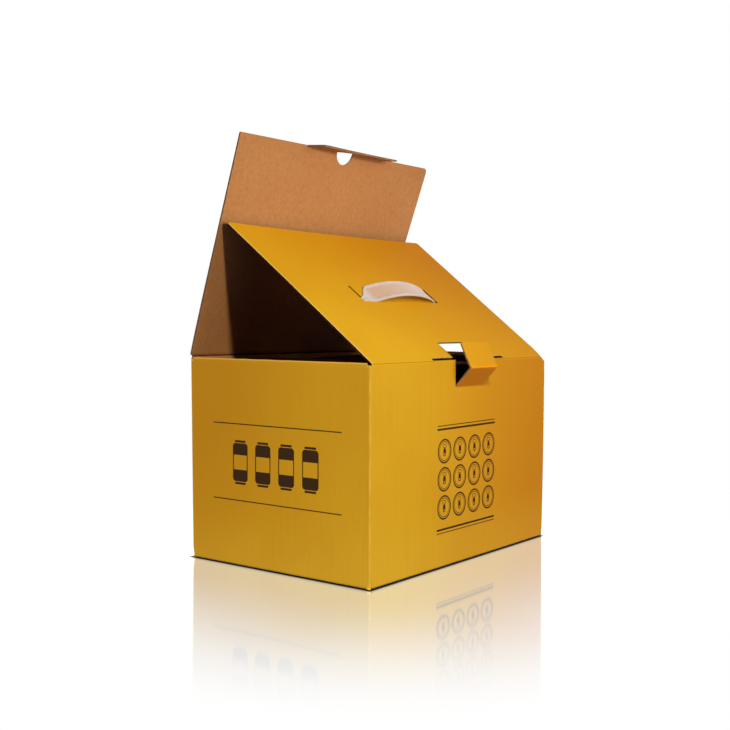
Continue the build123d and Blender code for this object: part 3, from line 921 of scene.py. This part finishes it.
S_L, S_R = STRAP_X - STRAP_HALF, STRAP_X + STRAP_HALF
slots = [slot_loop(S_L - 1.5, S_L + 0.8), slot_loop(S_R - 4.4, S_R + 1.0)]
lid_us = lines(-LID_HALF, LID_HALF, 7.0, [SLIT_L - 1.5, SLIT_R + 1.5])
lid_vs = lines(0.0, FRONT_LEN, 7.0, [0.7, 1.2, 1.6, 2.2, 3.0])
front = Gather()
sheet(front, [front_loop(CREASE, SLIT_LID), *slots], place_front, lid_us, lid_vs, lambda u, v: (u + HX, 320.0 + v),
      kraft_loops=[front_loop(0.7, SLIT_LID), *slots], flute_loops=[front_loop(2.4, SLIT_LID), *slots],
      flute_vs=lines(0.0, FRONT_LEN, 24.0, [2.6, 3.2]),
      # the strap slots' cut edges take the near-black flute paper as painted shade
      rim=lambda u, v: MEDIUM if abs(u) < 100.0 and 80.0 < v < 115.0 else CORE)
front_piece = front.build("front_lid_board", [mat_lid, mat_kraft, mat_core, mat_medium_shaded])
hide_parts("front_lid")
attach(front_piece, "inner_lid")

tb = math.radians(BACK_LEAN)
B_ALONG, B_OUT = Vector((-math.sin(tb), math.cos(tb))), Vector((math.cos(tb), math.sin(tb)))
B_HINGE = Vector((HY, Z_BACK))


def back_bow(u, v):
    """The lid is twisted a little: its right side bows back below and leans in above."""
    t = v / BACK_LEN
    x = u / LID_HALF
    r = max(0.0, x) ** 2
    left_ = max(0.0, -x) ** 2 * 2.6 * math.sqrt(max(0.0, t)) * max(0.0, 1 - t) ** 1.5
    return 0.5 * math.sin(math.pi * t) * (1 - x * x) + r * (5.6 * (1 - t) * smooth(0.0, 0.5, t) - 0.9 * t * t) + left_


def skew_back(u, v):
    """Free edge cut slightly out of square, and the right side narrowing to the crease."""
    t = v / BACK_LEN
    x = u / LID_HALF
    return u + max(0.0, x) ** 4 * (1.2 * t * t - 1.9 * smooth(1.0, 0.55, t)), v + (0.2 + 0.55 * (x + 1)) * t * t


def place_back(u, v, d):
    h = back_bow(u, v) - squeeze(d, crush(v))
    u, v = skew_back(u, v)
    q = B_HINGE + B_ALONG * v + B_OUT * h
    return (u, q.x, q.y)


tuck_dir = Vector((-math.cos(math.radians(TUCK_DEG)), -math.sin(math.radians(TUCK_DEG))))
tuck_turn = math.acos(max(-1.0, min(1.0, B_ALONG.dot(tuck_dir))))
tuck_cut = FOLD * math.tan(tuck_turn / 2)
V_TUCK = BACK_LEN - tuck_cut


T_L, T_R = TUCK_X - TUCK_HALF, TUCK_X + TUCK_HALF


def back_loop(v_fold):
    r, rl, L = 4.6, 1.4, BACK_LEN
    a = math.degrees(math.asin(tuck_cut / THUMB_R))
    top = [(T_R + 0.5, L), (T_R + 0.5, L - 2.6), (T_R, L - 2.6), (T_R, V_TUCK)]
    thumb = arc_pts(THUMB_X, L, THUMB_R, -a, -180 + a, 18)
    top2 = [(T_L, V_TUCK), (T_L, L - 2.6), (T_L - 0.5, L - 2.6), (T_L - 0.5, L)]
    return [(-LID_ROOT, v_fold), (LID_HALF, v_fold)] + arc_pts(LID_HALF - r, L - r, r, 0, 90, 6) + top + thumb + top2 + \
        arc_pts(-LID_HALF + rl, L - rl, rl, 90, 180, 5)


hand = arc_pts(HAND_W / 2 - HAND_H / 2, HAND_ALONG, HAND_H / 2, -90, 90, 14) + \
    arc_pts(-HAND_W / 2 + HAND_H / 2, HAND_ALONG, HAND_H / 2, 90, 270, 14)
back = Gather()
back_vs = lines(0.0, BACK_LEN, 7.0, [0.7, 1.2, 1.6, 2.2, 3.0])
sheet(back, [back_loop(CREASE), hand], place_back, lines(-LID_HALF, LID_HALF, 7.0), back_vs,
      lambda u, v: (-END - (u + HX), 320.0 + v), kraft_loops=[back_loop(0.7), hand], flute_loops=[back_loop(2.4), hand],
      flute_vs=lines(0.0, BACK_LEN, 24.0, [2.6, 3.2]))
tuck_start = B_HINGE + B_ALONG * V_TUCK
tuck_mid = B_HINGE + B_ALONG * BACK_LEN
prof = Profile([tuck_start, tuck_mid, tuck_mid + tuck_dir * TUCK_LEN], [FOLD], hand=1)
L = prof.length
arc_len = FOLD * tuck_turn
half_hole = math.sqrt(THUMB_R ** 2 - tuck_cut ** 2)
bite = math.degrees(math.asin(tuck_cut / THUMB_R))
outline = [(T_L, 0), (THUMB_X - half_hole, 0)] + arc_pts(THUMB_X, arc_len - tuck_cut, THUMB_R, 180 - bite, bite, 16) + [
    (THUMB_X + half_hole, 0), (T_R, 0), (TUCK_X + TUCK_TIP + 0.1, L - 3.0)] + arc_pts(TUCK_X + TUCK_TIP - 3.0, L - 3.0, 3.0, 4, 90, 5) + \
    arc_pts(TUCK_X - TUCK_TIP + 4.0, L - 4.0, 4.0, 90, 176, 5) + [(TUCK_X - TUCK_TIP - 0.1, L - 4.0)]


def tuck_place(u, q, w):
    """The tongue follows the lid's edge and keeps a slight curl from being tucked in."""
    t = max(0.0, w - arc_len) / (L - arc_len)
    x = (u - TUCK_X) / TUCK_HALF
    u2, v2 = skew_back(u, BACK_LEN)
    lift, h = v2 - BACK_LEN, back_bow(u, BACK_LEN)
    q = q + B_ALONG * lift + B_OUT * h
    return (u2, q.x, q.y + (-0.4 - 0.4 * x - 0.35 * (1 - x * x)) * t)


fold_sheet(back, prof, tuck_place, outline, lambda u, w: (-END - (u + HX), 530.0 + w), 7.0, 5.0)
back_piece = back.build("back_lid_board", [mat_lid, mat_kraft, mat_core, mat_pale])
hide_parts("back_lid")
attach(back_piece, "outer_lid")

# ---------------------------------------------------------------- creases that carry the print across
def crease_strip(name, hinge, wall_dir, lid_dir, hand, x0, x1, blank):
    turn = math.acos(max(-1.0, min(1.0, wall_dir.dot(lid_dir))))
    radius = CREASE / math.tan(turn / 2)
    a, b = hinge - wall_dir * CREASE, hinge + lid_dir * CREASE
    prof = Profile([a, hinge, b], [radius], hand=hand)
    L = prof.length

    def place(u, w, d):
        p, n = prof.at(w)
        t = w / L
        # a scored line: a slight hollow on the wall's side and a slight ridge on the lid's
        ends_in = smooth(0.0, 0.12, t) * smooth(1.0, 0.88, t)
        score = (-0.22 * math.exp(-((t - 0.30) / 0.16) ** 2) + 0.16 * math.exp(-((t - 0.66) / 0.16) ** 2)) * ends_in
        wob = 0.05 * math.sin(u * 0.9) + 0.04 * math.sin(u * 0.37 + 1.0)
        q = p - n * (d - score - wob * ends_in)
        return (u, q.x, q.y)
    g = Gather()
    us = lines(x0, x1, 2.2)
    vs = [L * i / 12 for i in range(1, 12)]
    liner(g, triangulate([[(x0, 0), (x1, 0), (x1, L), (x0, L)]], us, vs), place, 0.0, LINER_P, (PRINT, MEDIUM, CORE), blank)
    ob = g.build(name, [mat_lid, mat_kraft, mat_core, mat_medium_shaded], sharp=60)
    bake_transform(ob)
    return ob


UP = Vector((0.0, 1.0))
crease_strip("front_crease_left", F_HINGE, UP, F_ALONG, -1, -144.1, SLIT_L, lambda u, w: (u + HX, 300.0 + w))
crease_strip("front_crease_right", F_HINGE, UP, F_ALONG, -1, SLIT_R, 139.5, lambda u, w: (u + HX, 300.0 + w))
crease_strip("back_crease", B_HINGE, UP, B_ALONG, 1, -HX + 0.6, 142.3, lambda u, w: (-END - (u + HX), 300.0 + w))

# ---------------------------------------------------------------- strap handle
sk = math.radians(STRAP_SKEW)
S_ORG = Vector((STRAP_X, F_HINGE.x, F_HINGE.y)) + Vector((0, F_ALONG.x, F_ALONG.y)) * STRAP_ALONG
AL3, UP3 = Vector((0, F_ALONG.x, F_ALONG.y)), Vector((0, F_UP.x, F_UP.y))
S_X = Vector((1, 0, 0)) * math.cos(sk) + AL3 * math.sin(sk)
S_Y = UP3.cross(S_X)


def strap_pt(s, y, h):
    q = S_ORG + S_X * s + S_Y * y + UP3 * h
    return (q.x, q.y, q.z)


leg, leg_r = STRAP_HALF, STRAP_HALF - 3.5
FLAT = -43.0            # the left end lies on the lid up to here


def arch(s):
    mid = (FLAT + leg_r) / 2
    a = min(1.0, abs(s - mid) / (leg_r - mid))
    return 0.35 + (STRAP_RISE - STRAP_T / 2 - 0.35) * (1.0 - a ** 2.1)


mid_line = [(-leg, -3.6), (-leg, -2.6), (-leg, -1.4), (-leg + 0.05, -0.5), (-leg + 0.3, 0.0), (-leg + 0.9, 0.35)]
for i in range(9):
    s = (-leg + 2.0) + (FLAT - 1.0 + leg - 2.0) * i / 8
    mid_line.append((s, 0.4))
n_arch = 54
for i in range(1, n_arch):
    s = FLAT + (leg_r - 0.8 - FLAT) * i / n_arch
    mid_line.append((s, arch(s) + 0.05))
mid_line += [(leg_r - 0.6, 0.45), (leg_r - 0.25, 0.1), (leg_r - 0.05, -0.5), (leg_r, -1.4), (leg_r, -2.6), (leg_r, -3.6)]


def strap_edges(s):
    """Front and rear edge of the strap: it tapers to a narrow neck on the left and keeps its width on the right."""
    w = STRAP_W / 2
    if s < 0:
        front_ = -10.2 - (w - 10.2) * smooth(leg - 3.0, -FLAT, -s)
        k = min(1.0, max(0.0, (s + leg - 1.5) / 18.0))
        rear = -3.6 + (w + 3.6) * (0.6 * k + 0.4 * k * k * (3 - 2 * k))
    else:
        front_ = -10.2 - (w - 10.2) * smooth(leg_r - 0.5, leg_r - 5.0, s)
        rear = 9.6 + (w - 9.6) * smooth(leg_r - 0.5, leg_r - 5.0, s)
    return front_, rear


def strap_section(hw, rec, t):
    """Closed section, from the rim on one edge over the top to the other and back beneath."""
    rim = 0.28
    k = min(1.5, hw / 4.2)
    top = [(-hw, -0.1 * t), (-hw + 0.12, 0.30 * t), (-hw + 0.45, 0.5 * t + rim * 0.75), (-hw + 0.95 * k, 0.5 * t + rim), (-hw + 1.7 * k, 0.5 * t + rim * 0.9),
           (-hw + 2.3 * k, 0.5 * t + rim * 0.2 - rec * 0.5), (-hw + 2.8 * k, 0.5 * t - rec * 0.92), (-hw + 3.5 * k, 0.5 * t - rec), (-hw * 0.12, 0.5 * t - rec), (0, 0.5 * t - rec)]
    top = top + [(-y, h) for y, h in reversed(top[:-1])]
    low = [(hw - 0.15, -0.36 * t), (hw - 0.6, -0.5 * t), (hw - 1.6 * min(1.0, k), -0.5 * t), (hw * 0.3, -0.46 * t), (0, -0.45 * t)]
    low = low + [(-y, h) for y, h in reversed(low[:-1])]
    return top + low


strap = Gather()
pts, attr, rings = [], [], []
for i, (s, h) in enumerate(mid_line):
    p0, p1 = mid_line[max(0, i - 1)], mid_line[min(len(mid_line) - 1, i + 1)]
    t = Vector((p1[0] - p0[0], p1[1] - p0[1])).normalized()
    nrm = Vector((-t.y, t.x))
    y0, y1 = strap_edges(s)
    hw, mid = (y1 - y0) / 2, (y0 + y1) / 2
    open_ = smooth(-leg + 12.0, -leg + 22.0, s) * smooth(leg_r - 6.0, leg_r - 16.0, s)
    sec = strap_section(hw, 0.42 * open_, STRAP_T)
    ring = []
    for y, e in sec:
        ring.append(len(pts))
        pts.append(strap_pt(s + nrm.x * e, mid + y, h + nrm.y * e))
        floor_ = open_ * smooth(hw - 2.6, hw - 4.6, abs(y)) if e > 0 else 0.0
        attr.append((s, mid + y, floor_))
    rings.append(ring)
faces = []
for r0, r1 in zip(rings, rings[1:]):
    m = len(r0)
    for k in range(m):
        faces.append((r0[k], r0[(k + 1) % m], r1[(k + 1) % m], r1[k]))
faces.append(tuple(reversed(rings[0])))
faces.append(tuple(rings[-1]))
strap.add(pts, faces, [0] * len(faces), attr)
# stops beneath the lid
for sx in (-1, 1):
    base = []
    ctr = -leg + 1.6 - 5.5 if sx < 0 else leg_r - 1.6 + 5.5
    pts, attr, rings = [], [], []
    shape = []
    for qx, qy, a0 in ((5.5 - 2.5, 12 - 2.5, 0), (-5.5 + 2.5, 12 - 2.5, 90), (-5.5 + 2.5, -12 + 2.5, 180), (5.5 - 2.5, -12 + 2.5, 270)):
        shape += [(qx, qy, a0 + 18 * k) for k in range(6)]
    for inset, h in ((0.35, -BOARD - 0.02), (0.0, -BOARD - 0.3), (0.0, -BOARD - 0.9), (0.4, -BOARD - 1.2), (2.0, -BOARD - 1.2)):
        ring = []
        for qx, qy, a in shape:
            x = qx + (2.5 - inset) * math.cos(math.radians(a))
            y = qy + (2.5 - inset) * math.sin(math.radians(a))
            ring.append(len(pts))
            pts.append(strap_pt(ctr + x, y, h))
            attr.append((ctr + x, y, 0.0))
        rings.append(ring)
    faces = [tuple(rings[0])]
    for r0, r1 in zip(rings, rings[1:]):
        m = len(r0)
        for k in range(m):
            faces.append((r0[(k + 1) % m], r0[k], r1[k], r1[(k + 1) % m]))
    faces.append(tuple(reversed(rings[-1])))
    strap.add(pts, faces, [0] * len(faces), attr)


def strap_material():
    """Milky moulded plastic; the sunk middle is thinner and carries a painted warm tint for the lid's colour showing
    through it.
    """
    n = Nodes("strap_plastic")
    f = n.noise(0.16, 3, 0.5)
    g = n.noise(1.6, 2, 0.5)
    col = n.mix(n.step(f, 0.3, 0.7), (0.455, 0.375, 0.345), (0.41, 0.325, 0.29))
    # painted light: the sunk middle takes a tint of the lid's orange seen through it, strongest towards one end
    tint = n.m("MULTIPLY", n.d, n.m("MULTIPLY_ADD", n.step(n.u, 45.0, -30.0), 0.55, 0.35))
    col = n.mix(tint, col, (0.42, 0.245, 0.145))
    col = n.mix(n.m("MULTIPLY", n.step(g, 0.5, 0.75), 0.12), col, (0.55, 0.48, 0.44))
    h = n.bump(g, 0.12, 0.00012, n.bump(f, 0.15, 0.0006))
    n.set(color=col, rough=n.m("MULTIPLY_ADD", f, 0.18, 0.26), normal=h, spec=0.45, sss=0.25, sss_scale=0.002)
    n.bsdf.inputs["Subsurface Radius"].default_value = (1.0, 0.6, 0.4)
    return n.mat


strap_piece = strap.build("strap_handle", [strap_material()], sharp=50)
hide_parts("carry_handle")
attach(strap_piece, "inner_lid")

# ---------------------------------------------------------------- stage
sc = bpy.context.scene
sc.view_settings.view_transform = "Standard"
sc.view_settings.look = "None"
sc.view_settings.exposure = 0.0
sc.view_settings.gamma = 1.0


def stage_mesh(name, verts, faces, mat):
    me = bpy.data.meshes.new(name)
    me.from_pydata(verts, [], faces)
    me.materials.append(mat)
    ob = bpy.data.objects.new(name, me)
    sc.collection.objects.link(ob)
    return ob


def floor_material():
    """Pale glossy table: a soft mirror image close to the object, plain white further off."""
    m = bpy.data.materials.new("floor_pale")
    m.use_nodes = True
    t = m.node_tree
    t.nodes.clear()
    out = t.nodes.new("ShaderNodeOutputMaterial")
    em = t.nodes.new("ShaderNodeEmission")
    gl = t.nodes.new("ShaderNodeBsdfGlossy")
    gl.inputs["Roughness"].default_value = 0.06
    mx = t.nodes.new("ShaderNodeMixShader")
    geo = t.nodes.new("ShaderNodeNewGeometry")
    sep = t.nodes.new("ShaderNodeSeparateXYZ")
    t.links.new(geo.outputs["Position"], sep.inputs[0])

    def mm(op, a, b=None):
        n = t.nodes.new("ShaderNodeMath")
        n.operation = op
        for i, x in enumerate((a, b)):
            if x is None:
                continue
            if isinstance(x, bpy.types.NodeSocket):
                t.links.new(x, n.inputs[i])
            else:
                n.inputs[i].default_value = x
        return n.outputs[0]
    ax = mm("MAXIMUM", mm("SUBTRACT", mm("ABSOLUTE", sep.outputs[0]), 0.146), 0.0)
    ay = mm("MAXIMUM", mm("SUBTRACT", mm("ABSOLUTE", sep.outputs[1]), 0.103), 0.0)
    dist = mm("SQRT", mm("ADD", mm("MULTIPLY", ax, ax), mm("MULTIPLY", ay, ay)))
    rg = t.nodes.new("ShaderNodeMapRange")
    rg.interpolation_type = "SMOOTHSTEP"
    t.links.new(dist, rg.inputs["Value"])
    rg.inputs["From Min"].default_value = 0.02
    rg.inputs["From Max"].default_value = 0.29
    rg.inputs["To Min"].default_value = 0.67
    rg.inputs["To Max"].default_value = 0.0
    # painted contact shadow: a thin dark line where the box meets the table
    ct = t.nodes.new("ShaderNodeMapRange")
    ct.interpolation_type = "SMOOTHSTEP"
    t.links.new(dist, ct.inputs["Value"])
    ct.inputs["From Min"].default_value = 0.0
    ct.inputs["From Max"].default_value = 0.0032
    ct.inputs["To Min"].default_value = 0.03
    ct.inputs["To Max"].default_value = 1.0
    t.links.new(ct.outputs[0], em.inputs["Strength"])
    tint = t.nodes.new("ShaderNodeMix")
    tint.data_type = "RGBA"
    t.links.new(ct.outputs[0], tint.inputs[0])
    tint.inputs[6].default_value = (0.0, 0.0, 0.0, 1.0)
    tint.inputs[7].default_value = (1.14, 1.36, 1.0, 1.0)
    t.links.new(tint.outputs[2], gl.inputs["Color"])
    t.links.new(rg.outputs[0], mx.inputs[0])
    t.links.new(em.outputs[0], mx.inputs[1])
    t.links.new(gl.outputs[0], mx.inputs[2])
    t.links.new(mx.outputs[0], out.inputs[0])
    return m


def dome_material():
    m = bpy.data.materials.new("backdrop_white")
    m.use_nodes = True
    t = m.node_tree
    t.nodes.clear()
    out = t.nodes.new("ShaderNodeOutputMaterial")
    em = t.nodes.new("ShaderNodeEmission")
    em.inputs["Color"].default_value = (1, 1, 1, 1)
    em.inputs["Strength"].default_value = 1.0
    t.links.new(em.outputs[0], out.inputs[0])
    return m


S = 12.0
floor = stage_mesh("floor", [(-S, -S, -0.0006), (S, -S, -0.0006), (S, S, -0.0006), (-S, S, -0.0006)], [(0, 1, 2, 3)], floor_material())
floor.visible_diffuse = False
verts, faces = [], []
nu, nv, rad = 32, 16, 25.0
for j in range(nv + 1):
    th = math.pi * j / nv
    for i in range(nu):
        ph = 2 * math.pi * i / nu
        verts.append((rad * math.sin(th) * math.cos(ph), rad * math.sin(th) * math.sin(ph), rad * math.cos(th)))
for j in range(nv):
    for i in range(nu):
        faces.append((j * nu + i, j * nu + (i + 1) % nu, (j + 1) * nu + (i + 1) % nu, (j + 1) * nu + i))
dome = stage_mesh("backdrop", verts, faces, dome_material())
dome.visible_diffuse = False
dome.visible_shadow = False
floor.visible_shadow = False

world = bpy.data.worlds.new("studio")
world.use_nodes = True
bg = world.node_tree.nodes["Background"]
bg.inputs[0].default_value = (1.0, 0.98, 0.95, 1)
bg.inputs[1].default_value = 0.03
sc.world = world


def area(name, pos, target, size, power, color=(1, 1, 1), shape="DISK"):
    li = bpy.data.lights.new(name, "AREA")
    li.shape = shape
    li.size = size
    li.energy = power
    li.color = color
    ob = bpy.data.objects.new(name, li)
    ob.location = pos
    d = Vector(target) - Vector(pos)
    ob.rotation_mode = "QUATERNION"
    ob.rotation_quaternion = d.to_track_quat("-Z", "Y")
    ob.visible_camera = False
    sc.collection.objects.link(ob)
    return ob


aim = Vector((0.0, -0.03, 0.17))
key_dir = Vector((-0.451, -0.624, 0.639)).normalized()
front_dir = Vector((0.14, -0.95, 0.28)).normalized()
low_dir = Vector((-0.334, -0.94, 0.06)).normalized()
fill_dir = Vector((0.14, -0.95, 0.06)).normalized()
high = Vector((0.0, 0.09, 0.28))
key = area("key", aim + key_dir * 1.5, aim, 0.07, 6.8, (1.0, 0.955, 0.87))
key_b = area("key_b", aim + key_dir * 1.5, aim, 0.07, 10.2, (1.0, 0.955, 0.87))
low_key = area("low_key", high + low_dir * 1.5, high, 0.07, 9.9, (1.0, 0.955, 0.87))
back_fill = area("back_fill", high + fill_dir * 1.7, high, 1.0, 13.4, (1.0, 0.985, 0.95))
under_fill = area("under_fill", (-0.05, -1.0, -0.25), high, 0.9, 4.0, (1.0, 0.985, 0.95))
front_box = area("front_box", aim + front_dir * 1.7, aim, 1.0, 27.5, (1.0, 0.985, 0.95))
left = area("left_box", (-1.6, 0.20, -0.05), (-0.146, 0.0, 0.07), 0.26, 17.6, (1.0, 0.985, 0.95))
right_light = area("right_box", (1.7, 0.25, 0.12), (0.146, 0.0, 0.09), 0.4, 26.0, (1.0, 0.985, 0.95))
area("back_box", (0.0, 2.0, 0.55), (0.0, 0.1, 0.2), 1.0, 24.0, (1.0, 0.985, 0.95))
back_lift = area("back_lift", (0.0, 2.0, 0.55), (0.0, 0.1, 0.2), 1.0, 16.0, (1.0, 0.985, 0.95))
top_fill = area("top_fill", (0.0, 0.7, 1.6), high, 0.6, 15.0, (1.0, 0.985, 0.95))


def flag(light, kind, things, state):
    """Studio flags: what a light reaches, or what may shade it."""
    coll = bpy.data.collections.new(light.name + "_" + kind)
    for ob in things:
        coll.objects.link(ob)
    for member in coll.collection_objects:
        member.light_linking.link_state = state
    setattr(light.light_linking, kind + "_collection", coll)


for one in (key, key_b, front_box):
    flag(one, "receiver", [back_piece], "EXCLUDE")
flag(key, "blocker", [strap_piece], "EXCLUDE")
for one in (low_key, back_fill, under_fill):
    flag(one, "receiver", [back_piece], "INCLUDE")
flag(left, "receiver", [carton], "INCLUDE")
flag(right_light, "receiver", [carton], "INCLUDE")
flag(back_lift, "receiver", [carton, back_piece], "INCLUDE")
flag(top_fill, "receiver", [back_piece], "INCLUDE")

# ---------------------------------------------------------------- camera
cam = bpy.data.cameras.new("camera")
cam.sensor_width = 36.0
cam.lens = 1080.2 / 730.0 * 36.0
cam.dof.use_dof = False
cam.clip_start, cam.clip_end = 0.01, 200.0
cam_ob = bpy.data.objects.new("camera", cam)
yaw, pitch, roll = math.radians(37.3), math.radians(2.23), math.radians(0.29)
fwd = Vector((math.cos(yaw) * math.cos(pitch), math.sin(yaw) * math.cos(pitch), -math.sin(pitch)))
right = Vector((math.sin(yaw), -math.cos(yaw), 0.0))
upv = right.cross(fwd)
r2 = right * math.cos(roll) + upv * math.sin(roll)
u2 = -right * math.sin(roll) + upv * math.cos(roll)
rot = Matrix((r2, u2, -fwd)).transposed()
cam_ob.matrix_world = Matrix.Translation((-0.8366, -0.6232, 0.2158)) @ rot.to_4x4()
sc.collection.objects.link(cam_ob)
sc.camera = cam_ob
